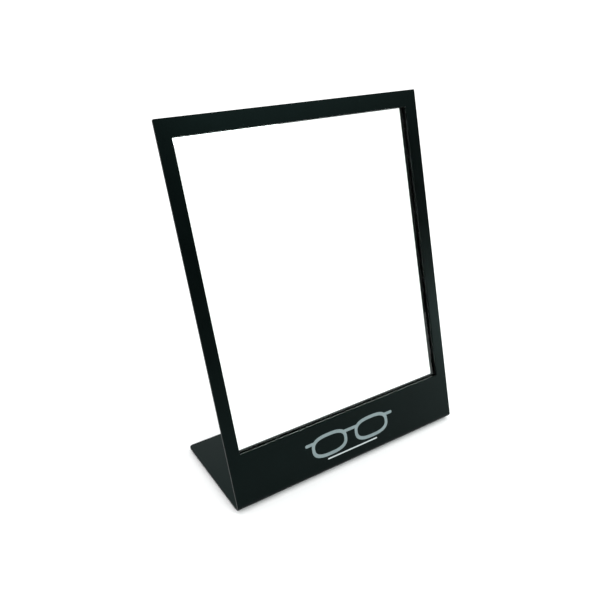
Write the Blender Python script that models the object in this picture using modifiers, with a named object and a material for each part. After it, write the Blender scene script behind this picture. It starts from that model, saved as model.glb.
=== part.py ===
"""Countertop mirror for an optician's desk.

One steel sheet is cut to outline, folded once and powder-coated. Its front frame leans back over
the base that the fold leaves behind it. A float-glass mirror is taped behind the frame's window,
and the base stands on four rubber bumpers.

Metres, +Z up. The origin is under the middle of the object, on the surface that it stands on. The
frame faces -Y, and +X is on the right of someone who looks into the mirror.
"""

import math

import bmesh
import bpy

# The folded sheet. Lengths run from the sharp corner that the two outer faces would meet in.
SHEET = 0.002
WIDTH = 0.216
FRAME_LENGTH = 0.283
BASE_DEPTH = 0.092
FOLD_ANGLE = math.radians(73)
FOLD_RADIUS = 0.004
FOLD_STEPS = 12
FRAME_CORNER_RADIUS = 0.001
BASE_CORNER_RADIUS = 0.003
CORNER_STEPS = 4

# The window, and what lies behind it
SIDE_BORDER = 0.0105
TOP_BORDER = 0.0122
BOTTOM_BORDER = 0.045
GLASS_LAP = 0.0065
GLASS_THICKNESS = 0.003
GLASS_ARRIS = 0.0005
SILVERING_THICKNESS = 0.0001
FILM_THICKNESS = 0.0002
FILM_INSET = 0.001
TAPE_WIDTH = 0.006
TAPE_THICKNESS = 0.0005

# The bumpers
FOOT_RADIUS = 0.005
FOOT_HEIGHT = 0.002
FOOT_INSET = 0.013
FOOT_ROUNDED_SHARE = 0.55
FOOT_ROUND_STEPS = 5
FOOT_SIDES = 32
PAD_RADIUS = 0.0045
PAD_THICKNESS = 0.0002

# The printed mark on the bottom border
INK = 0.0001
LENS_PITCH = 0.042
LENS_WIDTH = 0.034
LENS_HEIGHT = 0.0195
LENS_SQUARENESS = 2.7
LENS_STEPS = 40
RIM = 0.0028
BROW_LENGTH = 0.087
BROW_UP = 0.0052
BROW_WIDTH = 0.0026
BAR_END_STEPS = 8
MARK_UP = 0.0245
RULE_LENGTH = 0.050
RULE_WIDTH = 0.0011
RULE_UP = 0.0122

# Faces that touch stay this far apart
JOINT_GAP = 0.00005

# A cutter is this many times as thick as what it cuts
CUTTER_THICKNESS = 4

WELD_DISTANCE = 1e-7
AXIS_WELD_DISTANCE = 1e-5
SMOOTH_BELOW = math.radians(40)
HALF_TURN = math.pi

BLACK_POWDER_COAT = ("black_powder_coat", (0.012, 0.022, 0.020), 0.5, 0.0, 1.0)
FLOAT_GLASS = ("float_glass", (0.86, 0.95, 0.92), 0.02, 0.0, 0.35)
SILVER_COAT = ("silver_coat", (0.94, 0.95, 0.95), 0.02, 1.0, 1.0)
FILM_GREY = ("backing_film", (0.19, 0.205, 0.21), 0.45, 0.0, 1.0)
FOAM_BLACK = ("foam_tape", (0.02, 0.02, 0.02), 0.9, 0.0, 1.0)
RUBBER_BLACK = ("bumper_rubber", (0.025, 0.025, 0.026), 0.75, 0.0, 1.0)
ADHESIVE = ("bumper_adhesive", (0.55, 0.53, 0.46), 0.4, 0.0, 1.0)
SILVER_INK = ("silver_ink", (0.42, 0.50, 0.49), 0.45, 0.0, 1.0)
WHITE_INK = ("white_ink", (0.80, 0.86, 0.84), 0.5, 0.0, 1.0)


# ---- the scene and its collections ----


def clear_scene():
    for old in list(bpy.data.objects):
        bpy.data.objects.remove(old, do_unlink=True)


def new_collection(name, in_render):
    collection = bpy.data.collections.new(name)
    collection.hide_render = not in_render
    bpy.context.scene.collection.children.link(collection)
    return collection


def add_object(name, data, collection, parent=None, location=(0, 0, 0)):
    thing = bpy.data.objects.new(name, data)
    thing.location = location
    thing.parent = parent
    collection.objects.link(thing)
    return thing


def paint(thing, finish):
    name, colour, roughness, metallic, alpha = finish
    material = bpy.data.materials.get(name) or bpy.data.materials.new(name)
    material.use_nodes = True
    shader = material.node_tree.nodes["Principled BSDF"]
    shader.inputs["Base Color"].default_value = (*colour, 1.0)
    shader.inputs["Roughness"].default_value = roughness
    shader.inputs["Metallic"].default_value = metallic
    shader.inputs["Alpha"].default_value = alpha
    thing.data.materials.append(material)


# ---- shapes that more than one piece is made from ----


def slab_mesh(name, width, height, thickness):
    """A flat plate: width along X, height along Y, thickness along Z, centred."""
    shape = bmesh.new()
    bmesh.ops.create_cube(shape, size=1.0)
    bmesh.ops.scale(shape, vec=(width, height, thickness), verts=shape.verts)
    mesh = bpy.data.meshes.new(name)
    shape.to_mesh(mesh)
    shape.free()
    return mesh


def outline_curve(name, loops, thickness):
    """A flat plate from closed outlines in XY. A loop inside another is a hole."""
    curve = bpy.data.curves.new(name, "CURVE")
    curve.dimensions = "2D"
    curve.fill_mode = "BOTH"
    curve.extrude = thickness / 2
    for points in loops:
        spline = curve.splines.new("POLY")
        spline.points.add(len(points) - 1)
        for point, (x, y) in zip(spline.points, points):
            point.co = (x, y, 0, 1)
        spline.use_cyclic_u = True
    return curve


def as_mesh(thing):
    """Turns a curve object into a mesh object with welded caps."""
    graph = bpy.context.evaluated_depsgraph_get()
    mesh = bpy.data.meshes.new_from_object(thing.evaluated_get(graph))
    shape = bmesh.new()
    shape.from_mesh(mesh)
    bmesh.ops.remove_doubles(shape, verts=shape.verts, dist=WELD_DISTANCE)
    bmesh.ops.recalc_face_normals(shape, faces=shape.faces)
    shape.to_mesh(mesh)
    shape.free()
    solid = bpy.data.objects.new(thing.name, mesh)
    solid.parent = thing.parent
    solid.matrix_local = thing.matrix_local.copy()
    home = thing.users_collection[0]
    name = thing.name
    bpy.data.objects.remove(thing, do_unlink=True)
    solid.name = name
    home.objects.link(solid)
    return solid


def boolean(thing, cutter, operation):
    modifier = thing.modifiers.new(operation.lower() + "_" + cutter.name, "BOOLEAN")
    modifier.operation = operation
    modifier.solver = "EXACT"
    modifier.object = cutter


def arc(centre, radius, start, sweep, steps):
    """Points of a circular arc, both ends included."""
    angles = [start + sweep * i / steps for i in range(steps + 1)]
    return [(centre[0] + radius * math.cos(a), centre[1] + radius * math.sin(a)) for a in angles]


# ---- the folded stand ----


def fold_tangent(radius):
    """How far from the sharp corner a fold of this radius starts."""
    return radius / math.tan(FOLD_ANGLE / 2)


def fold_corner():
    """Where the outer faces of base and frame would meet: the object's depth is centred on Y 0."""
    front_of_fold = fold_tangent(FOLD_RADIUS) - FOLD_RADIUS
    return (0, -(front_of_fold + BASE_DEPTH) / 2, FOOT_HEIGHT)


def side_outline():
    """The sheet seen from its side, +Y to the rear, with the sharp corner at the origin."""
    centre = (fold_tangent(FOLD_RADIUS), FOLD_RADIUS)
    sweep = HALF_TURN - FOLD_ANGLE
    up = (math.cos(FOLD_ANGLE), math.sin(FOLD_ANGLE))
    out = (-up[1], up[0])
    outer = arc(centre, FOLD_RADIUS, -HALF_TURN / 2, -sweep, FOLD_STEPS)
    inner = arc(centre, FOLD_RADIUS - SHEET, -HALF_TURN / 2 - sweep, sweep, FOLD_STEPS)
    top_front = (up[0] * FRAME_LENGTH, up[1] * FRAME_LENGTH)
    top_back = (top_front[0] - out[0] * SHEET, top_front[1] - out[1] * SHEET)
    rear = [(BASE_DEPTH, SHEET), (BASE_DEPTH, 0)]
    return outer + [top_front, top_back] + inner + rear


def round_sheet_corners(stand):
    """Rounds the four free corners of the sheet: two on top of the frame, two behind the base."""
    shape = bmesh.new()
    shape.from_mesh(stand.data)
    for at_top, radius in ((True, FRAME_CORNER_RADIUS), (False, BASE_CORNER_RADIUS)):
        corners = []
        for edge in shape.edges:
            a, b = edge.verts
            at_side = min(abs(a.co.z), abs(b.co.z)) > WIDTH / 2 - SHEET / 2
            through_sheet = abs(edge.calc_length() - SHEET) < SHEET / 10
            if at_top:
                at_end = min(a.co.y, b.co.y) > FRAME_LENGTH / 2
            else:
                at_end = min(a.co.x, b.co.x) > BASE_DEPTH - SHEET / 2 and max(a.co.y, b.co.y) < 2 * SHEET
            if at_side and through_sheet and at_end:
                corners.append(edge)
        bmesh.ops.bevel(
            shape, geom=corners, offset=radius, segments=CORNER_STEPS, profile=0.5, affect="EDGES"
        )
    shape.to_mesh(stand.data)
    shape.free()


def make_stand(parts, cutters, frame_plane):
    curve = outline_curve("stand", [side_outline()], WIDTH)
    stand = add_object("stand", curve, parts, location=fold_corner())
    stand.rotation_euler = (HALF_TURN / 2, 0, HALF_TURN / 2)
    bpy.context.view_layer.update()
    stand = as_mesh(stand)
    round_sheet_corners(stand)
    paint(stand, BLACK_POWDER_COAT)
    width, height, middle = window()
    mesh = slab_mesh("window_cutter", width, height, CUTTER_THICKNESS * SHEET)
    cutter = add_object("window_cutter", mesh, cutters, frame_plane, (0, middle, 0))
    cutter.hide_render = True
    cutter.display_type = "WIRE"
    boolean(stand, cutter, "DIFFERENCE")


# ---- the mirror and its tapes, placed on the plane of the frame's front face ----


def window():
    """Width and height of the window, and how far up the frame its middle is."""
    height = FRAME_LENGTH - TOP_BORDER - BOTTOM_BORDER
    return WIDTH - 2 * SIDE_BORDER, height, BOTTOM_BORDER + height / 2


def glass_size():
    width, height, _ = window()
    return width + 2 * GLASS_LAP, height + 2 * GLASS_LAP


def layers_behind_frame():
    """The middle of each layer behind the frame's front face, as a distance along its normal."""
    middles = {}
    back = -SHEET
    for name, thickness in (
        ("tape", TAPE_THICKNESS),
        ("glass", GLASS_THICKNESS),
        ("silvering", SILVERING_THICKNESS),
        ("film", FILM_THICKNESS),
    ):
        back -= JOINT_GAP
        middles[name] = back - thickness / 2
        back -= thickness
    return middles


def make_mirror(parts, frame_plane):
    middle = window()[2]
    width, height = glass_size()
    depth = layers_behind_frame()
    mesh = slab_mesh("mirror_glass", width, height, GLASS_THICKNESS)
    glass = add_object("mirror_glass", mesh, parts, frame_plane, (0, middle, depth["glass"]))
    ground_edge = glass.modifiers.new("ground_edge", "BEVEL")
    ground_edge.width = GLASS_ARRIS
    ground_edge.segments = 1
    paint(glass, FLOAT_GLASS)

    coat_width = width - 2 * GLASS_ARRIS
    coat_height = height - 2 * GLASS_ARRIS
    mesh = slab_mesh("mirror_silvering", coat_width, coat_height, SILVERING_THICKNESS)
    place = (0, middle, depth["silvering"])
    paint(add_object("mirror_silvering", mesh, parts, frame_plane, place), SILVER_COAT)

    mesh = slab_mesh("backing_film", width - 2 * FILM_INSET, height - 2 * FILM_INSET, FILM_THICKNESS)
    place = (0, middle, depth["film"])
    paint(add_object("backing_film", mesh, parts, frame_plane, place), FILM_GREY)


def make_tapes(parts, frame_plane):
    """Top and bottom strips run the full width, and the side strips fit between them."""
    middle = window()[2]
    width, height = glass_size()
    depth = layers_behind_frame()["tape"]
    margin = (GLASS_LAP - TAPE_WIDTH) / 2
    long_strip = width - 2 * margin
    side_strip = height - 2 * (margin + TAPE_WIDTH + JOINT_GAP)
    across = width / 2 - margin - TAPE_WIDTH / 2
    along = height / 2 - margin - TAPE_WIDTH / 2
    strips = {
        "tape_top": (long_strip, TAPE_WIDTH, 0, along),
        "tape_bottom": (long_strip, TAPE_WIDTH, 0, -along),
        "tape_left": (TAPE_WIDTH, side_strip, -across, 0),
        "tape_right": (TAPE_WIDTH, side_strip, across, 0),
    }
    for name, (strip_width, strip_height, x, up) in strips.items():
        mesh = slab_mesh(name, strip_width, strip_height, TAPE_THICKNESS)
        paint(add_object(name, mesh, parts, frame_plane, (x, middle + up, depth)), FOAM_BLACK)


# ---- the bumpers under the base ----


def foot_profile():
    """Half of a bumper's section, from the middle of its top, out and down to its middle."""
    height = FOOT_HEIGHT - PAD_THICKNESS - 2 * JOINT_GAP
    round_off = height * FOOT_ROUNDED_SHARE
    middle = (FOOT_RADIUS - round_off, round_off - height)
    shoulder = arc(middle, round_off, 0, -HALF_TURN / 2, FOOT_ROUND_STEPS)
    return [(0, 0), (FOOT_RADIUS, 0)] + shoulder + [(0, -height)]


def foot_mesh(collection):
    """Turns the profile, and leaves the evaluated solid as one mesh for all four bumpers."""
    profile = foot_profile()
    mesh = bpy.data.meshes.new("foot_profile")
    links = [(i, i + 1) for i in range(len(profile) - 1)]
    mesh.from_pydata([(x, 0, z) for x, z in profile], links, [])
    turned = add_object("foot_profile", mesh, collection)
    screw = turned.modifiers.new("turn", "SCREW")
    screw.steps = FOOT_SIDES
    screw.render_steps = FOOT_SIDES
    screw.use_merge_vertices = True
    screw.merge_threshold = AXIS_WELD_DISTANCE
    screw.use_normal_calculate = False
    bpy.context.view_layer.update()
    graph = bpy.context.evaluated_depsgraph_get()
    solid = bpy.data.meshes.new_from_object(turned.evaluated_get(graph))
    solid.shade_smooth()
    solid.set_sharp_from_angle(angle=SMOOTH_BELOW)
    bpy.data.objects.remove(turned, do_unlink=True)
    return solid


def make_feet(parts):
    """Each bumper hangs from its adhesive disc, inset alike from the base's corners."""
    bumper = foot_mesh(parts)
    fold_y = fold_corner()[1]
    front_y = fold_y + fold_tangent(FOLD_RADIUS) + FOOT_INSET
    rear_y = fold_y + BASE_DEPTH - FOOT_INSET
    for depth_name, y in (("front", front_y), ("rear", rear_y)):
        for side_name, side in (("left", -1), ("right", 1)):
            where = depth_name + "_" + side_name
            x = side * (WIDTH / 2 - FOOT_INSET)
            pad_top = FOOT_HEIGHT - JOINT_GAP
            bpy.ops.mesh.primitive_cylinder_add(
                vertices=FOOT_SIDES,
                radius=PAD_RADIUS,
                depth=PAD_THICKNESS,
                location=(x, y, pad_top - PAD_THICKNESS / 2),
            )
            pad = bpy.context.object
            pad.name = "foot_pad_" + where
            pad.users_collection[0].objects.unlink(pad)
            parts.objects.link(pad)
            paint(pad, ADHESIVE)
            foot_top = pad_top - PAD_THICKNESS - JOINT_GAP
            foot = add_object("foot_" + where, bumper.copy(), parts, location=(x, y, foot_top))
            paint(foot, RUBBER_BLACK)
    bpy.data.meshes.remove(bumper)


# ---- the printed mark: a plain spectacles pictogram over a plain rule ----


def lens_outline(middle_x, width, height):
    """A rounded lens shape: a superellipse, between an ellipse and a rectangle."""
    points = []
    for i in range(LENS_STEPS):
        angle = 2 * HALF_TURN * i / LENS_STEPS
        c = math.cos(angle)
        s = math.sin(angle)
        x = math.copysign(abs(c) ** (2 / LENS_SQUARENESS), c) * width / 2
        y = math.copysign(abs(s) ** (2 / LENS_SQUARENESS), s) * height / 2
        points.append((middle_x + x, y))
    return points


def bar_outline(length, width, up):
    """A straight bar with round ends."""
    radius = width / 2
    reach = length / 2 - radius
    right = arc((reach, up), radius, -HALF_TURN / 2, HALF_TURN, BAR_END_STEPS)
    left = arc((-reach, up), radius, HALF_TURN / 2, HALF_TURN, BAR_END_STEPS)
    return right + left


def make_mark(parts, cutters, frame_plane):
    out = JOINT_GAP + INK / 2
    place = (0, MARK_UP, out)
    curve = outline_curve("printed_spectacles", [bar_outline(BROW_LENGTH, BROW_WIDTH, BROW_UP)], INK)
    mark = as_mesh(add_object("printed_spectacles", curve, parts, frame_plane, place))
    paint(mark, SILVER_INK)
    inner_width = LENS_WIDTH - 2 * RIM
    inner_height = LENS_HEIGHT - 2 * RIM
    for side_name, side in (("left", -1), ("right", 1)):
        middle = side * LENS_PITCH / 2
        for role, width, height, thickness, operation in (
            ("rim", LENS_WIDTH, LENS_HEIGHT, INK, "UNION"),
            ("opening", inner_width, inner_height, CUTTER_THICKNESS * INK, "DIFFERENCE"),
        ):
            name = side_name + "_" + role + "_cutter"
            shape = outline_curve(name, [lens_outline(middle, width, height)], thickness)
            cutter = as_mesh(add_object(name, shape, cutters, frame_plane, place))
            cutter.hide_render = True
            cutter.display_type = "WIRE"
            boolean(mark, cutter, operation)

    curve = outline_curve("printed_rule", [bar_outline(RULE_LENGTH, RULE_WIDTH, 0)], INK)
    rule = add_object("printed_rule", curve, parts, frame_plane, (0, RULE_UP, out))
    paint(as_mesh(rule), WHITE_INK)


def main():
    clear_scene()
    parts = new_collection("countertop_mirror", True)
    cutters = new_collection("cutters", False)
    frame_plane = add_object("frame_plane", None, parts, location=fold_corner())
    frame_plane.rotation_euler.x = FOLD_ANGLE
    bpy.context.view_layer.update()
    make_stand(parts, cutters, frame_plane)
    make_mirror(parts, frame_plane)
    make_tapes(parts, frame_plane)
    make_feet(parts)
    make_mark(parts, cutters, frame_plane)
    bpy.context.view_layer.update()


main()
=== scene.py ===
"""A leaning countertop mirror, as it stands on an optician's desk.

The sections follow the mirror as it is put together: the sheet is cut, folded and coated, the mark
is printed on it, the glass is silvered, backed and taped in behind its window, and the bumpers go
on last. Metres, +Z up, the mirror faces -Y.
"""

import math

import bmesh
import bpy
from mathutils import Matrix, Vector


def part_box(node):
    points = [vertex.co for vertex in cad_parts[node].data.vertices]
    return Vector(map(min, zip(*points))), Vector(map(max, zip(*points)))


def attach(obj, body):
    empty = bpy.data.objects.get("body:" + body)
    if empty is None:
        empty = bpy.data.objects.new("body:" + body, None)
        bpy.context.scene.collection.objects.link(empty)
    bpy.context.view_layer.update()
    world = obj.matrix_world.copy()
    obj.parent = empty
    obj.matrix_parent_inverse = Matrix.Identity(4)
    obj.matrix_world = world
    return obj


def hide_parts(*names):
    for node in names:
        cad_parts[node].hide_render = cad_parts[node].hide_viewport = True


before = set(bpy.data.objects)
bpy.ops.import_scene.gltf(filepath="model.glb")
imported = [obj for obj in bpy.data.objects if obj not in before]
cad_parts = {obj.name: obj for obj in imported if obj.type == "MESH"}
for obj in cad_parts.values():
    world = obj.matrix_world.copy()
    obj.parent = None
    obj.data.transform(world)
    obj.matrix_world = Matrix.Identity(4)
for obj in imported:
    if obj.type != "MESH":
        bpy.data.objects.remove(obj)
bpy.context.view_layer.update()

# ---------------------------------------------------------------------------------------------
# The stand is one sheet of 2 mm steel, laser-cut flat with its window and broken along its edges.
# It is folded once on a press brake, so that the frame leans back over the base, and then
# powder-coated in a green black that rounds the edges and has a fine orange peel.
# ---------------------------------------------------------------------------------------------

SHEET = 0.002
FOLD_ANGLE = math.radians(73)
FOLD_RADIUS = 0.004
FOLD_STRIPS = 24
FOLD_BULGE = 0.0004
FOLD_DRAW_IN = 0.0001
EDGE_ROUND = 0.00035
SIDE_BORDER = 0.0105
TOP_BORDER = 0.0122
BOTTOM_BORDER = 0.045
WINDOW_CORNER = 0.0006
FRAME_CORNER = 0.001
BASE_CORNER = 0.003

stand_low, stand_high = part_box("stand")
WIDTH = stand_high[0] - stand_low[0]
FOLD_SWEEP = math.pi - FOLD_ANGLE
FOLD_TANGENT = FOLD_RADIUS / math.tan(FOLD_ANGLE / 2)
CORNER_Y = stand_low[1] - (FOLD_TANGENT - FOLD_RADIUS)
CORNER_Z = stand_low[2]
BASE_DEPTH = stand_high[1] - CORNER_Y
FRAME_LENGTH = (stand_high[2] - stand_low[2]) / math.sin(FOLD_ANGLE)
UP_FRAME = Vector((0, math.cos(FOLD_ANGLE), math.sin(FOLD_ANGLE)))
OUT_OF_FRAME = Vector((0, -math.sin(FOLD_ANGLE), math.cos(FOLD_ANGLE)))
WINDOW_WIDTH = WIDTH - 2 * SIDE_BORDER
WINDOW_HEIGHT = FRAME_LENGTH - TOP_BORDER - BOTTOM_BORDER

# The flat blank runs from the base's rear edge, at 0, to the top of the frame.
FLAT_BASE = BASE_DEPTH - FOLD_TANGENT
FLAT_FOLD = (FOLD_RADIUS - SHEET / 2) * FOLD_SWEEP
BLANK_LENGTH = FLAT_BASE + FLAT_FOLD + FRAME_LENGTH - FOLD_TANGENT

COAT_DARK = (0.0004, 0.0009, 0.0008)
COAT_LIGHT = (0.0006, 0.0013, 0.0012)
COAT_SHEEN = (0.58, 1.0, 0.95, 1)
COAT_SHEEN_LEVEL = 0.095
COAT_SMOOTHEST = 0.31
COAT_ROUGHEST = 0.37
PEEL_DEPTH = 0.00002
GRIT_DEPTH = 0.000006


def on_frame(x, up, out):
    """A place on the leaning frame: across, up from the sharp fold corner, out of its face."""
    return Vector((x, CORNER_Y, CORNER_Z)) + UP_FRAME * up + OUT_OF_FRAME * out


def rounded_outline(width, length, radii, steps=6):
    """A rectangle from (-width/2, 0), anticlockwise from its lower right corner's own radius."""
    half = width / 2
    places = ((half, 0, -90), (half, length, 0), (-half, length, 90), (-half, 0, 180))
    points = []
    for (x, y, start), radius in zip(places, radii):
        centre_x = x - math.copysign(radius, x)
        centre_y = y + (radius if y == 0 else -radius)
        for i in range(steps + 1):
            angle = math.radians(start + 90 * i / steps)
            points.append((centre_x + radius * math.cos(angle), centre_y + radius * math.sin(angle)))
    return points


def plate(name, outline, low, high):
    """A flat plate with the anticlockwise outline in XY, from the low to the high Z."""
    count = len(outline)
    points = [(x, y, low) for x, y in outline] + [(x, y, high) for x, y in outline]
    faces = [tuple(reversed(range(count))), tuple(range(count, 2 * count))]
    for i in range(count):
        j = (i + 1) % count
        faces.append((i, j, count + j, count + i))
    mesh = bpy.data.meshes.new(name)
    mesh.from_pydata(points, [], faces)
    piece = bpy.data.objects.new(name, mesh)
    bpy.context.scene.collection.objects.link(piece)
    return piece


def score(piece, places, direction):
    """Cuts a piece's faces into strips, at places along a direction."""
    shape = bmesh.new()
    shape.from_mesh(piece.data)
    for place in places:
        everything = shape.verts[:] + shape.edges[:] + shape.faces[:]
        line = Vector(direction) * place
        bmesh.ops.bisect_plane(shape, geom=everything, plane_co=line, plane_no=direction)
    shape.to_mesh(piece.data)
    shape.free()


def settle(piece):
    """Makes the piece's modifiers part of its mesh."""
    graph = bpy.context.evaluated_depsgraph_get()
    mesh = bpy.data.meshes.new_from_object(piece.evaluated_get(graph))
    piece.modifiers.clear()
    piece.data = mesh


def round_edges(piece, width, segments=3, sharper_than=60):
    bevel = piece.modifiers.new("round_edges", "BEVEL")
    bevel.width = width
    bevel.segments = segments
    bevel.angle_limit = math.radians(sharper_than)
    settle(piece)


def smooth(piece, below=50):
    """Shades round stretches smooth, and keeps the large flat faces flat."""
    piece.data.shade_smooth()
    piece.data.set_sharp_from_angle(angle=math.radians(below))
    flatten = piece.modifiers.new("even_normals", "WEIGHTED_NORMAL")
    flatten.keep_sharp = True


def join_or_cut(piece, tool, operation):
    """Unites a piece with a tool, or cuts the tool from it. The tool is used up."""
    step = piece.modifiers.new(operation.lower(), "BOOLEAN")
    step.operation = operation
    step.object = tool
    bpy.context.view_layer.update()
    settle(piece)
    bpy.data.objects.remove(tool, do_unlink=True)


def cut_blank():
    """The flat sheet: outer face at Z 0, inner face at -SHEET, with its window."""
    corners = (BASE_CORNER, FRAME_CORNER, FRAME_CORNER, BASE_CORNER)
    blank = plate("folded_stand", rounded_outline(WIDTH, BLANK_LENGTH, corners), -SHEET, 0)
    lines = [FLAT_BASE + FLAT_FOLD * i / FOLD_STRIPS for i in range(FOLD_STRIPS + 1)]
    score(blank, lines, (0, 1, 0))
    outline = rounded_outline(WINDOW_WIDTH, WINDOW_HEIGHT, [WINDOW_CORNER] * 4)
    punch = plate("window_punch", outline, -2 * SHEET, SHEET)
    punch.location.y = BLANK_LENGTH - TOP_BORDER - WINDOW_HEIGHT
    join_or_cut(blank, punch, "DIFFERENCE")
    return blank


def folded(flat):
    """Where a point of the flat blank lies once the sheet is folded."""
    x, along, depth = flat
    if along <= FLAT_BASE:
        return Vector((x, CORNER_Y + BASE_DEPTH - along, CORNER_Z - depth))
    if along >= FLAT_BASE + FLAT_FOLD:
        return on_frame(x, along - FLAT_BASE - FLAT_FOLD + FOLD_TANGENT, depth)
    part = (along - FLAT_BASE) / FLAT_FOLD
    angle = FOLD_SWEEP * part
    radius = FOLD_RADIUS + depth
    # The squeezed inner side of a fold bulges out past the sheet's edges, and the outer draws in.
    if abs(x) > WIDTH / 2 - SHEET:
        bulge = FOLD_BULGE * (-depth / SHEET) - FOLD_DRAW_IN * (1 + depth / SHEET)
        x += math.copysign(bulge * math.sin(math.pi * part) ** 2, x)
    centre = Vector((x, CORNER_Y + FOLD_TANGENT, CORNER_Z + FOLD_RADIUS))
    return centre + Vector((0, -math.sin(angle), -math.cos(angle))) * radius


def new_material(name, colour, roughness, metallic=0.0):
    material = bpy.data.materials.new(name)
    material.use_nodes = True
    shader = material.node_tree.nodes["Principled BSDF"]
    shader.inputs["Base Color"].default_value = (*colour, 1)
    shader.inputs["Roughness"].default_value = roughness
    shader.inputs["Metallic"].default_value = metallic
    return material, material.node_tree, shader


def lumps(tree, size, detail=2.0, stretch=(1, 1, 1)):
    """Noise whose lumps are this wide, in metres on the piece itself."""
    place = tree.nodes.new("ShaderNodeTexCoord")
    scale = tree.nodes.new("ShaderNodeMapping")
    scale.inputs["Scale"].default_value = [axis / size for axis in stretch]
    noise = tree.nodes.new("ShaderNodeTexNoise")
    noise.inputs["Scale"].default_value = 1
    noise.inputs["Detail"].default_value = detail
    tree.links.new(place.outputs["Object"], scale.inputs["Vector"])
    tree.links.new(scale.outputs["Vector"], noise.inputs["Vector"])
    return noise.outputs["Fac"]


def spread(tree, pattern, low, high, middle=0.5, half=0.2):
    """Maps the middle band of a pattern onto a range of values."""
    band = tree.nodes.new("ShaderNodeMapRange")
    band.inputs["From Min"].default_value = middle - half
    band.inputs["From Max"].default_value = middle + half
    band.inputs["To Min"].default_value = low
    band.inputs["To Max"].default_value = high
    tree.links.new(pattern, band.inputs["Value"])
    return band.outputs["Result"]


def tint(tree, shader, pattern, low, high, middle=0.5, half=0.2):
    """Colours the piece from one colour to the other with a pattern."""
    mix = tree.nodes.new("ShaderNodeMix")
    mix.data_type = "RGBA"
    mix.inputs["A"].default_value = (*low, 1)
    mix.inputs["B"].default_value = (*high, 1)
    tree.links.new(spread(tree, pattern, 0, 1, middle, half), mix.inputs["Factor"])
    tree.links.new(mix.outputs["Result"], shader.inputs["Base Color"])


def roughen(tree, shader, pattern, smoothest, roughest):
    """Varies the gloss with a pattern."""
    rough = spread(tree, pattern, smoothest, roughest)
    tree.links.new(rough, shader.inputs["Roughness"])


def relief(tree, shader, height, depth):
    """Bumps of this real depth, on top of any coarser ones that the shader already has."""
    bump = tree.nodes.new("ShaderNodeBump")
    bump.inputs["Distance"].default_value = depth
    tree.links.new(height, bump.inputs["Height"])
    for coarser in shader.inputs["Normal"].links:
        tree.links.new(coarser.from_socket, bump.inputs["Normal"])
    tree.links.new(bump.outputs["Normal"], shader.inputs["Normal"])


def powder_coat():
    material, tree, shader = new_material("satin_powder_coat", COAT_LIGHT, COAT_SMOOTHEST)
    clouds = lumps(tree, size=0.030, detail=3)
    peel = lumps(tree, size=0.0016, detail=1)
    grit = lumps(tree, size=0.00035, detail=2)
    handling = lumps(tree, size=0.012, detail=4)
    tint(tree, shader, clouds, COAT_DARK, COAT_LIGHT)
    roughen(tree, shader, handling, COAT_SMOOTHEST, COAT_ROUGHEST)
    relief(tree, shader, peel, PEEL_DEPTH)
    relief(tree, shader, grit, GRIT_DEPTH)
    shader.inputs["Specular IOR Level"].default_value = COAT_SHEEN_LEVEL
    shader.inputs["Specular Tint"].default_value = COAT_SHEEN
    return material


stand = cut_blank()
round_edges(stand, EDGE_ROUND)
for vert in stand.data.vertices:
    vert.co = folded(vert.co)
smooth(stand)
stand.data.materials.append(powder_coat())
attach(stand, "root")
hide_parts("stand")

# ---------------------------------------------------------------------------------------------
# The mark on the bottom border is screen-printed in two inks: a silver pair of spectacles, and a
# pale rule under it. The ink is a few hundredths of a millimetre thick and slightly uneven.
# ---------------------------------------------------------------------------------------------

INK = 0.00004
INK_GRAIN_DEPTH = 0.000006
INK_SHEEN_LEVEL = 0.3
INK_SMOOTHEST = 0.38
INK_ROUGHEST = 0.55
SILVER_INK = ((0.15, 0.20, 0.205), (0.19, 0.24, 0.245))
PALE_INK = ((0.42, 0.47, 0.47), (0.50, 0.55, 0.55))
LENS_PITCH = 0.042
LENS_WIDTH = 0.034
LENS_HEIGHT = 0.0195
LENS_SQUARENESS = 2.7
LENS_POINTS = 96
RIM = 0.0028
BROW_LENGTH = 0.087
BROW_UP = 0.0052
BROW_WIDTH = 0.0026
MARK_UP = 0.0245
RULE_LENGTH = 0.050
RULE_WIDTH = 0.0011
RULE_UP = 0.0122
# A bar's ends are a hair less than half circles, so that its two arcs never share a point.
BAR_END_FULLNESS = 0.999


def lens_outline(middle, width, height):
    """A superellipse: rounder than a rectangle, fuller than an ellipse."""
    power = 2 / LENS_SQUARENESS
    points = []
    for i in range(LENS_POINTS):
        angle = math.tau * i / LENS_POINTS
        x = math.copysign(abs(math.cos(angle)) ** power, math.cos(angle))
        y = math.copysign(abs(math.sin(angle)) ** power, math.sin(angle))
        points.append((middle + x * width / 2, y * height / 2))
    return points


def bar_outline(length, width, up):
    """A straight bar with round ends, its middle this far up."""
    radius = width / 2
    outline = rounded_outline(length, width, [radius * BAR_END_FULLNESS] * 4, steps=8)
    return [(x, y + up - radius) for x, y in outline]


def lay_on_frame(piece, up):
    """Moves flat artwork, drawn around its own middle, onto the front of the frame."""
    for vert in piece.data.vertices:
        vert.co = on_frame(vert.co.x, vert.co.y + up, vert.co.z)


def ink(name, low, high):
    material, tree, shader = new_material(name, low, INK_SMOOTHEST)
    tint(tree, shader, lumps(tree, size=0.0025, detail=5), low, high)
    roughen(tree, shader, lumps(tree, size=0.0008, detail=3), INK_SMOOTHEST, INK_ROUGHEST)
    relief(tree, shader, lumps(tree, size=0.0006, detail=2), INK_GRAIN_DEPTH)
    shader.inputs["Specular IOR Level"].default_value = INK_SHEEN_LEVEL
    return material


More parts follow.
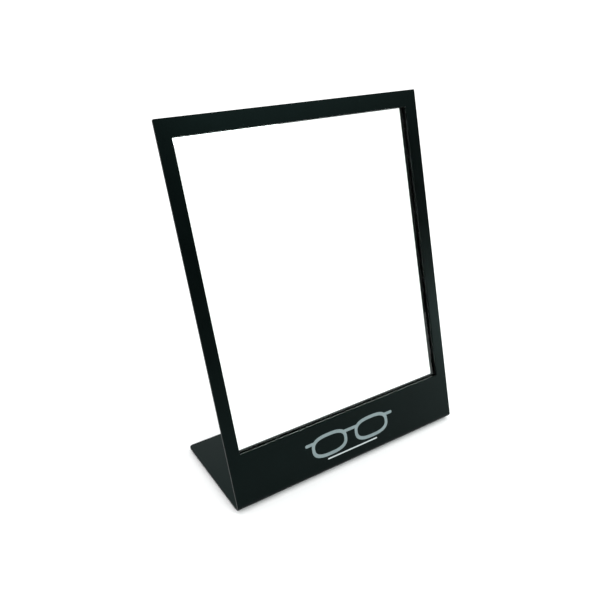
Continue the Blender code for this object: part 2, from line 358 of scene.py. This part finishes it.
spectacles = plate("spectacles_print", bar_outline(BROW_LENGTH, BROW_WIDTH, BROW_UP), 0, INK)
for side in (-1, 1):
    middle = side * LENS_PITCH / 2
    rim = plate("rim", lens_outline(middle, LENS_WIDTH, LENS_HEIGHT), 0, INK)
    join_or_cut(spectacles, rim, "UNION")
for side in (-1, 1):
    middle = side * LENS_PITCH / 2
    opening = lens_outline(middle, LENS_WIDTH - 2 * RIM, LENS_HEIGHT - 2 * RIM)
    join_or_cut(spectacles, plate("opening", opening, -INK, 2 * INK), "DIFFERENCE")
lay_on_frame(spectacles, MARK_UP)
spectacles.data.materials.append(ink("silver_print", *SILVER_INK))
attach(spectacles, "root")
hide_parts("printed_spectacles")

rule = plate("rule_print", bar_outline(RULE_LENGTH, RULE_WIDTH, 0), 0, INK)
lay_on_frame(rule, RULE_UP)
rule.data.materials.append(ink("pale_print", *PALE_INK))
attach(rule, "root")
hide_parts("printed_rule")

# ---------------------------------------------------------------------------------------------
# The pane is 3 mm float glass, cut to size, its edges ground to a narrow matt bevel all round. It
# laps the window by 6.5 mm on every side, behind the frame.
# ---------------------------------------------------------------------------------------------

GLASS_LAP = 0.0065
GLASS = 0.003
GLASS_BEVEL = 0.0005
GLASS_CORNER = 0.001
GLASS_IOR = 1.52
GLASS_CLEAR = (0.985, 1.0, 0.992)
GLASS_GLINT = (0.5, 0.52, 0.51, 1)
GLASS_RIPPLE_DEPTH = 0.000001
GROUND_GLASS = (0.62, 0.85, 0.76)
GROUND_CLARITY = 0.85
GROUND_MARK_DEPTH = 0.00002
TAPE = 0.0005
JOINT_GAP = 0.00005
GLASS_FRONT = -(SHEET + TAPE + 2 * JOINT_GAP)
PANE_WIDTH = WINDOW_WIDTH + 2 * GLASS_LAP
PANE_HEIGHT = WINDOW_HEIGHT + 2 * GLASS_LAP
PANE_FOOT = BOTTOM_BORDER - GLASS_LAP
# A face of a flat sheet looks forwards or back if its normal has more than this of Z.
LOOKS_ALONG_Z = 0.9


def lay_behind_frame(piece, foot, out):
    """Moves a flat sheet that stands on Y 0 to its height and depth behind the frame."""
    for vert in piece.data.vertices:
        vert.co = on_frame(vert.co.x, vert.co.y + foot, vert.co.z + out)


def clear_glass():
    material, tree, shader = new_material("clear_glass", GLASS_CLEAR, 0.0)
    shader.inputs["Transmission Weight"].default_value = 1
    shader.inputs["IOR"].default_value = GLASS_IOR
    shader.inputs["Specular Tint"].default_value = GLASS_GLINT
    relief(tree, shader, lumps(tree, size=0.06, detail=1), GLASS_RIPPLE_DEPTH)
    return material


def ground_glass():
    material, tree, shader = new_material("ground_glass", GROUND_GLASS, 0.4)
    shader.inputs["Transmission Weight"].default_value = GROUND_CLARITY
    shader.inputs["IOR"].default_value = GLASS_IOR
    wheel_marks = lumps(tree, size=0.0004, detail=3, stretch=(0.2, 1, 1))
    roughen(tree, shader, wheel_marks, 0.3, 0.55)
    relief(tree, shader, wheel_marks, GROUND_MARK_DEPTH)
    return material


pane_outline = rounded_outline(PANE_WIDTH, PANE_HEIGHT, [GLASS_CORNER] * 4, steps=3)
pane = plate("mirror_pane", pane_outline, -GLASS, 0)
round_edges(pane, GLASS_BEVEL, segments=1)
pane.data.materials.append(clear_glass())
pane.data.materials.append(ground_glass())
for face in pane.data.polygons:
    face.material_index = 0 if abs(face.normal.z) > LOOKS_ALONG_Z else 1
lay_behind_frame(pane, PANE_FOOT, GLASS_FRONT)
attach(pane, "root")
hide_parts("mirror_glass")

# ---------------------------------------------------------------------------------------------
# The silvering is on the back of the pane: bright silver where it meets the glass, sealed behind
# with copper and grey paint. It stops at the ground bevel.
# ---------------------------------------------------------------------------------------------

SILVERING = 0.0001
SILVERING_CORNER = 0.0004
SILVER = ((0.950, 0.962, 0.957), (0.960, 0.970, 0.965))
BACKING_PAINT = ((0.18, 0.20, 0.21), (0.23, 0.25, 0.26))
BRUSH_DEPTH = 0.00001


def silver():
    material, tree, shader = new_material("silver", SILVER[0], 0.0, metallic=1.0)
    tint(tree, shader, lumps(tree, size=0.004, detail=2), *SILVER)
    return material


def backing_paint():
    material, tree, shader = new_material("backing_paint", BACKING_PAINT[0], 0.5)
    streaks = lumps(tree, size=0.003, detail=4, stretch=(1, 0.08, 0.08))
    tint(tree, shader, streaks, *BACKING_PAINT)
    relief(tree, shader, streaks, BRUSH_DEPTH)
    return material


silver_width = PANE_WIDTH - 2 * GLASS_BEVEL
silver_height = PANE_HEIGHT - 2 * GLASS_BEVEL
silver_back = GLASS_FRONT - GLASS - JOINT_GAP
coat_outline = rounded_outline(silver_width, silver_height, [SILVERING_CORNER] * 4, steps=2)
silvering = plate("silvering", coat_outline, -SILVERING, 0)
silvering.data.materials.append(silver())
silvering.data.materials.append(backing_paint())
for face in silvering.data.polygons:
    face.material_index = 0 if face.normal.z > LOOKS_ALONG_Z else 1
lay_behind_frame(silvering, PANE_FOOT + GLASS_BEVEL, silver_back)
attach(silvering, "root")
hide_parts("mirror_silvering")

# ---------------------------------------------------------------------------------------------
# Safety film covers the painted back and holds the pieces if the pane breaks. It is grey plastic
# over a woven scrim, pressed on by hand, so it has a faint weave and a few long ripples.
# ---------------------------------------------------------------------------------------------

FILM = 0.0002
FILM_INSET = 0.001
FILM_CORNER = 0.002
FILM_CELL = 0.006
FILM_DARK = (0.178, 0.193, 0.198)
FILM_LIGHT = (0.200, 0.215, 0.220)
FILM_SMOOTHEST = 0.36
FILM_ROUGHEST = 0.52
SCRIM_PITCH = 0.0016
SCRIM_DEPTH = 0.00002
SCRIM_WANDER = 0.6
SCRIM_WANDER_SCALE = 40
# A wave texture at scale 1 turns through 20 radians in a metre.
WAVE_RADIANS = 20
RIPPLE_HEIGHT = 0.00009
RIPPLE_MARGIN = 0.02
# Each ripple: radians a metre across and up the film, where it starts, and its share.
RIPPLES = ((31, 9, 0.0, 1.0), (-13, 47, 1.7, 0.6))


def scrim_height(tree):
    """Crossing threads: two sets of fine ridges, along and across the film."""
    place = tree.nodes.new("ShaderNodeTexCoord")
    lie_flat = tree.nodes.new("ShaderNodeMapping")
    lie_flat.inputs["Rotation"].default_value = (-FOLD_ANGLE, 0, 0)
    tree.links.new(place.outputs["Object"], lie_flat.inputs["Vector"])
    highest = tree.nodes.new("ShaderNodeMath")
    highest.operation = "MAXIMUM"
    for direction, entry in zip("XY", highest.inputs):
        thread = tree.nodes.new("ShaderNodeTexWave")
        thread.bands_direction = direction
        thread.inputs["Scale"].default_value = math.tau / (WAVE_RADIANS * SCRIM_PITCH)
        thread.inputs["Distortion"].default_value = SCRIM_WANDER
        thread.inputs["Detail Scale"].default_value = SCRIM_WANDER_SCALE
        tree.links.new(lie_flat.outputs["Vector"], thread.inputs["Vector"])
        tree.links.new(thread.outputs["Fac"], entry)
    return highest.outputs["Value"]


def safety_film():
    material, tree, shader = new_material("safety_film", FILM_DARK, FILM_SMOOTHEST)
    scrim = scrim_height(tree)
    tint(tree, shader, scrim, FILM_DARK, FILM_LIGHT, middle=0.6, half=0.4)
    roughen(tree, shader, lumps(tree, size=0.02, detail=3), FILM_SMOOTHEST, FILM_ROUGHEST)
    relief(tree, shader, scrim, SCRIM_DEPTH)
    return material


def film_ripple(x, y, width, height):
    """Long shallow ripples that die out at the pressed-down edges."""
    inside = min(width / 2 - abs(x), y, height - y) / RIPPLE_MARGIN
    settled = max(0.0, min(1.0, inside))
    wave = 0.0
    for across, upwards, start, share in RIPPLES:
        wave += share * math.sin(x * across + y * upwards + start)
    whole = sum(ripple[-1] for ripple in RIPPLES)
    return settled * RIPPLE_HEIGHT * (1 + wave / whole)


film_width = PANE_WIDTH - 2 * FILM_INSET
film_height = PANE_HEIGHT - 2 * FILM_INSET
film_front = silver_back - SILVERING - JOINT_GAP
film_outline = rounded_outline(film_width, film_height, [FILM_CORNER] * 4)
film = plate("safety_film", film_outline, -FILM, 0)
columns = [i * FILM_CELL - film_width / 2 for i in range(1, int(film_width / FILM_CELL))]
rows = [i * FILM_CELL for i in range(1, int(film_height / FILM_CELL))]
score(film, columns, (1, 0, 0))
score(film, rows, (0, 1, 0))
for vert in film.data.vertices:
    if vert.co.z < -FILM / 2:
        vert.co.z += film_ripple(vert.co.x, vert.co.y, film_width, film_height)
lay_behind_frame(film, PANE_FOOT + FILM_INSET, film_front)
smooth(film)
film.data.materials.append(safety_film())
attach(film, "root")
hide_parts("backing_film")

# ---------------------------------------------------------------------------------------------
# Four strips of 6 mm black acrylic foam tape bond the margin of the pane to the back of the
# frame. The top and bottom strips run the full width, and the side strips fit between them.
# ---------------------------------------------------------------------------------------------

TAPE_WIDTH = 0.006
TAPE_CORNER = 0.0003
TAPE_SQUEEZE = 0.00012
FOAM = ((0.008, 0.008, 0.009), (0.020, 0.020, 0.021))
FOAM_CELL = 0.00018
FOAM_CELL_DEPTH = 0.00005
FOAM_SHEEN_LEVEL = 0.2


def foam():
    material, tree, shader = new_material("black_foam", FOAM[0], 0.85)
    cells = lumps(tree, size=FOAM_CELL, detail=2)
    tint(tree, shader, cells, *FOAM)
    relief(tree, shader, cells, FOAM_CELL_DEPTH)
    shader.inputs["Specular IOR Level"].default_value = FOAM_SHEEN_LEVEL
    return material


black_foam = foam()
tape_margin = (GLASS_LAP - TAPE_WIDTH) / 2
long_strip = PANE_WIDTH - 2 * tape_margin
side_strip = PANE_HEIGHT - 2 * (tape_margin + TAPE_WIDTH + JOINT_GAP)
side_x = PANE_WIDTH / 2 - tape_margin - TAPE_WIDTH / 2
bottom_foot = PANE_FOOT + tape_margin
side_foot = bottom_foot + TAPE_WIDTH + JOINT_GAP
top_foot = PANE_FOOT + PANE_HEIGHT - tape_margin - TAPE_WIDTH
strips = {
    "tape_top": (long_strip, TAPE_WIDTH, 0, top_foot),
    "tape_bottom": (long_strip, TAPE_WIDTH, 0, bottom_foot),
    "tape_left": (TAPE_WIDTH, side_strip, -side_x, side_foot),
    "tape_right": (TAPE_WIDTH, side_strip, side_x, side_foot),
}
for node, (width, height, x, foot) in strips.items():
    outline = rounded_outline(width, height, [TAPE_CORNER] * 4, steps=2)
    strip = plate(node + "_foam", outline, -TAPE, 0)
    round_edges(strip, TAPE_SQUEEZE)
    for vert in strip.data.vertices:
        vert.co.x += x
    lay_behind_frame(strip, foot, -SHEET - JOINT_GAP)
    smooth(strip)
    strip.data.materials.append(black_foam)
    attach(strip, "root")
    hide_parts(node)

# ---------------------------------------------------------------------------------------------
# Four black rubber bumpers keep the base off the counter. Each is moulded, with a rounded rim and
# a shallow dished foot, and sticks to the base with its own adhesive disc.
# ---------------------------------------------------------------------------------------------

TURN_STEPS = 64
FOOT_TOP_ROUND = 0.0002
FOOT_RIM_SHARE = 0.55
FOOT_DISH_OUTSIDE = 0.72
FOOT_DISH_INSIDE = 0.66
FOOT_DISH_EDGE_DEPTH = 0.00012
FOOT_DISH_DEPTH = 0.00018
DISC_ROUND = 0.00005
RUBBER = ((0.018, 0.018, 0.020), (0.030, 0.030, 0.032))
RUBBER_GRAIN_DEPTH = 0.00001
ADHESIVE = ((0.50, 0.48, 0.41), (0.60, 0.58, 0.51))
ADHESIVE_FLECK_DEPTH = 0.00002


def turned(name, profile):
    """Spins a profile, from the axis out and back to the axis, into a closed piece."""
    shape = bmesh.new()
    rings = []
    for radius, z in profile:
        if radius == 0:
            rings.append([shape.verts.new((0, 0, z))])
            continue
        ring = []
        for i in range(TURN_STEPS):
            angle = math.tau * i / TURN_STEPS
            ring.append(shape.verts.new((radius * math.cos(angle), radius * math.sin(angle), z)))
        rings.append(ring)
    for above, below in zip(rings, rings[1:]):
        for i in range(TURN_STEPS):
            j = (i + 1) % TURN_STEPS
            corners = [above[i % len(above)], below[i % len(below)]]
            corners += [below[j % len(below)], above[j % len(above)]]
            shape.faces.new(list(dict.fromkeys(corners)))
    bmesh.ops.recalc_face_normals(shape, faces=shape.faces)
    mesh = bpy.data.meshes.new(name)
    shape.to_mesh(mesh)
    shape.free()
    return mesh


def quarter(centre_radius, centre_z, radius, start, end, steps=8):
    """A quarter circle of a profile, from one angle to the other."""
    turns = [math.radians(start + (end - start) * i / steps) for i in range(steps + 1)]
    return [(centre_radius + radius * math.cos(a), centre_z + radius * math.sin(a)) for a in turns]


def rubber():
    material, tree, shader = new_material("moulded_rubber", RUBBER[0], 0.7)
    bloom = lumps(tree, size=0.002, detail=4)
    tint(tree, shader, bloom, *RUBBER)
    roughen(tree, shader, bloom, 0.62, 0.8)
    relief(tree, shader, lumps(tree, size=0.0002, detail=2), RUBBER_GRAIN_DEPTH)
    return material


def adhesive():
    material, tree, shader = new_material("adhesive_disc", ADHESIVE[0], 0.35)
    flecks = lumps(tree, size=0.0008, detail=3)
    tint(tree, shader, flecks, *ADHESIVE)
    relief(tree, shader, flecks, ADHESIVE_FLECK_DEPTH)
    return material


foot_low, foot_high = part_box("foot_front_left")
foot_radius = (foot_high[0] - foot_low[0]) / 2
foot_height = foot_high[2] - foot_low[2]
rim_round = foot_height * FOOT_RIM_SHARE
flat_radius = foot_radius - rim_round
foot_profile = [(0, 0)]
foot_profile += quarter(foot_radius - FOOT_TOP_ROUND, -FOOT_TOP_ROUND, FOOT_TOP_ROUND, 90, 0, steps=3)
foot_profile += quarter(flat_radius, rim_round - foot_height, rim_round, 0, -90)
foot_profile.append((flat_radius * FOOT_DISH_OUTSIDE, -foot_height))
foot_profile.append((flat_radius * FOOT_DISH_INSIDE, FOOT_DISH_EDGE_DEPTH - foot_height))
foot_profile.append((0, FOOT_DISH_DEPTH - foot_height))
pad_low, pad_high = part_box("foot_pad_front_left")
pad_radius = (pad_high[0] - pad_low[0]) / 2
pad_height = pad_high[2] - pad_low[2]
pad_profile = [(0, 0), (pad_radius - DISC_ROUND, 0), (pad_radius, -pad_height / 2)]
pad_profile += [(pad_radius - DISC_ROUND, -pad_height), (0, -pad_height)]
bumper_mesh = turned("bumper", foot_profile)
bumper_mesh.materials.append(rubber())
pad_mesh = turned("adhesive_disc", pad_profile)
pad_mesh.materials.append(adhesive())
for corner in ("front_left", "front_right", "rear_left", "rear_right"):
    for node, mesh, slot in (
        ("foot_" + corner, bumper_mesh, "bumper_rubber"),
        ("foot_pad_" + corner, pad_mesh, "bumper_adhesive"),
    ):
        low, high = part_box(node)
        piece = bpy.data.objects.new(mesh.name + "_" + corner, mesh.copy())
        bpy.context.scene.collection.objects.link(piece)
        piece.location = ((low[0] + high[0]) / 2, (low[1] + high[1]) / 2, high[2])
        smooth(piece, below=40)
        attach(piece, "root")
        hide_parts(node)

# ---------------------------------------------------------------------------------------------
# The studio is a pale paper floor under an even white sky, with three soft panels: low on the
# right, high in front and high behind. The camera looks down on the mirror from the front left.
# ---------------------------------------------------------------------------------------------

FLOOR_REACH = 6.0
FLOOR_CORNER = 0.5
FLOOR_THICKNESS = 0.01
PAPER = ((0.955, 0.955, 0.955), (0.965, 0.965, 0.965))


def studio_paper():
    material, tree, shader = new_material("studio_paper", PAPER[0], 0.9)
    tint(tree, shader, lumps(tree, size=0.01, detail=5), *PAPER)
    shader.inputs["Specular IOR Level"].default_value = 0.0
    return material


floor_outline = rounded_outline(FLOOR_REACH, FLOOR_REACH, [FLOOR_CORNER] * 4)
floor = plate("studio_floor", floor_outline, -FLOOR_THICKNESS, 0)
floor.location.y = -FLOOR_REACH / 2
floor.data.materials.append(studio_paper())

SKY = 1.35
# The cloth's brightness, which way it hangs, and how squarely a ray must meet it to see its edge
# and its full darkness, as cosines.
CLOTH = 0.06
CLOTH_TOWARDS = (-0.20, -0.90, 0.38)
CLOTH_EDGE = -0.10
CLOTH_FULL = 0.40
# A ray that has been through no glass counts 0 and through one face of it 1, so half parts them.
NO_GLASS_YET = 0.5


def studio_sky():
    """White all round, and a dark cloth in front, which isn't there for every ray.

    A surface's own gloss shows it: the coat's, the inks' and the faint one off the front of the
    pane. Rays that have been through the glass find white there, so the silver never shows it.
    """
    world = bpy.data.worlds.new("studio_sky")
    world.use_nodes = True
    # The sky depends on the kind of ray, so it isn't sampled as a lamp, which has only one kind.
    world.cycles.sampling_method = "NONE"
    tree = world.node_tree
    place = tree.nodes.new("ShaderNodeTexCoord")
    towards = tree.nodes.new("ShaderNodeVectorMath")
    towards.operation = "DOT_PRODUCT"
    towards.inputs[1].default_value = Vector(CLOTH_TOWARDS).normalized()
    tree.links.new(place.outputs["Generated"], towards.inputs[0])
    cloth = tree.nodes.new("ShaderNodeMapRange")
    cloth.interpolation_type = "SMOOTHSTEP"
    cloth.inputs["From Min"].default_value = CLOTH_EDGE
    cloth.inputs["From Max"].default_value = CLOTH_FULL
    cloth.inputs["To Min"].default_value = SKY
    cloth.inputs["To Max"].default_value = CLOTH
    tree.links.new(towards.outputs["Value"], cloth.inputs["Value"])
    ray = tree.nodes.new("ShaderNodeLightPath")
    outside_glass = tree.nodes.new("ShaderNodeMath")
    outside_glass.operation = "LESS_THAN"
    outside_glass.inputs[1].default_value = NO_GLASS_YET
    tree.links.new(ray.outputs["Transmission Depth"], outside_glass.inputs[0])
    sheen = tree.nodes.new("ShaderNodeMath")
    sheen.operation = "MULTIPLY"
    tree.links.new(ray.outputs["Is Glossy Ray"], sheen.inputs[0])
    tree.links.new(outside_glass.outputs["Value"], sheen.inputs[1])
    backdrop = tree.nodes.new("ShaderNodeMix")
    backdrop.inputs["A"].default_value = SKY
    tree.links.new(cloth.outputs["Result"], backdrop.inputs["B"])
    tree.links.new(sheen.outputs["Value"], backdrop.inputs["Factor"])
    tree.links.new(backdrop.outputs["Result"], tree.nodes["Background"].inputs["Strength"])
    tree.nodes["Background"].inputs["Color"].default_value = (1, 1, 1, 1)
    return world


def softbox(name, place, at, size, brightness, colour):
    """A soft panel aimed at a place. Its face has this brightness, where white paper is 1."""
    light = bpy.data.lights.new(name, "AREA")
    light.shape = "RECTANGLE"
    light.size, light.size_y = size
    light.energy = brightness * math.pi * size[0] * size[1]
    light.color = colour
    lamp = bpy.data.objects.new(name, light)
    lamp.location = place
    lamp.rotation_euler = (Vector(at) - lamp.location).to_track_quat("-Z", "Y").to_euler()
    bpy.context.scene.collection.objects.link(lamp)


bpy.context.scene.world = studio_sky()
bpy.context.scene.view_settings.view_transform = "Standard"
softbox(
    "side_light",
    place=(0.46, -0.27, 0.06),
    at=(0.06, -0.04, 0.02),
    size=(0.22, 0.10),
    brightness=6,
    colour=(0.88, 1.0, 0.98),
)
softbox(
    "front_light",
    place=(0.36, -0.50, 0.62),
    at=(0.0, 0.0, 0.08),
    size=(0.5, 0.3),
    brightness=2.8,
    colour=(0.86, 1.0, 0.98),
)
softbox(
    "back_light",
    place=(0.24, 0.61, 0.57),
    at=(-0.08, 0.0, 0.0),
    size=(0.5, 0.5),
    brightness=0.6,
    colour=(0.80, 1.0, 1.0),
)

CAMERA_PLACE = (-0.2488, -0.3614, 0.3514)
CAMERA_DOWN = 30.42
CAMERA_RIGHT = 33.32
CAMERA_LENS = 37.7
CAMERA_SHIFT = (-0.0217, 0.07)

lens = bpy.data.cameras.new("camera")
lens.lens = CAMERA_LENS
lens.shift_x, lens.shift_y = CAMERA_SHIFT
camera = bpy.data.objects.new("camera", lens)
camera.location = CAMERA_PLACE
camera.rotation_euler = (math.radians(90 - CAMERA_DOWN), 0, math.radians(-CAMERA_RIGHT))
bpy.context.scene.collection.objects.link(camera)
bpy.context.scene.camera = camera
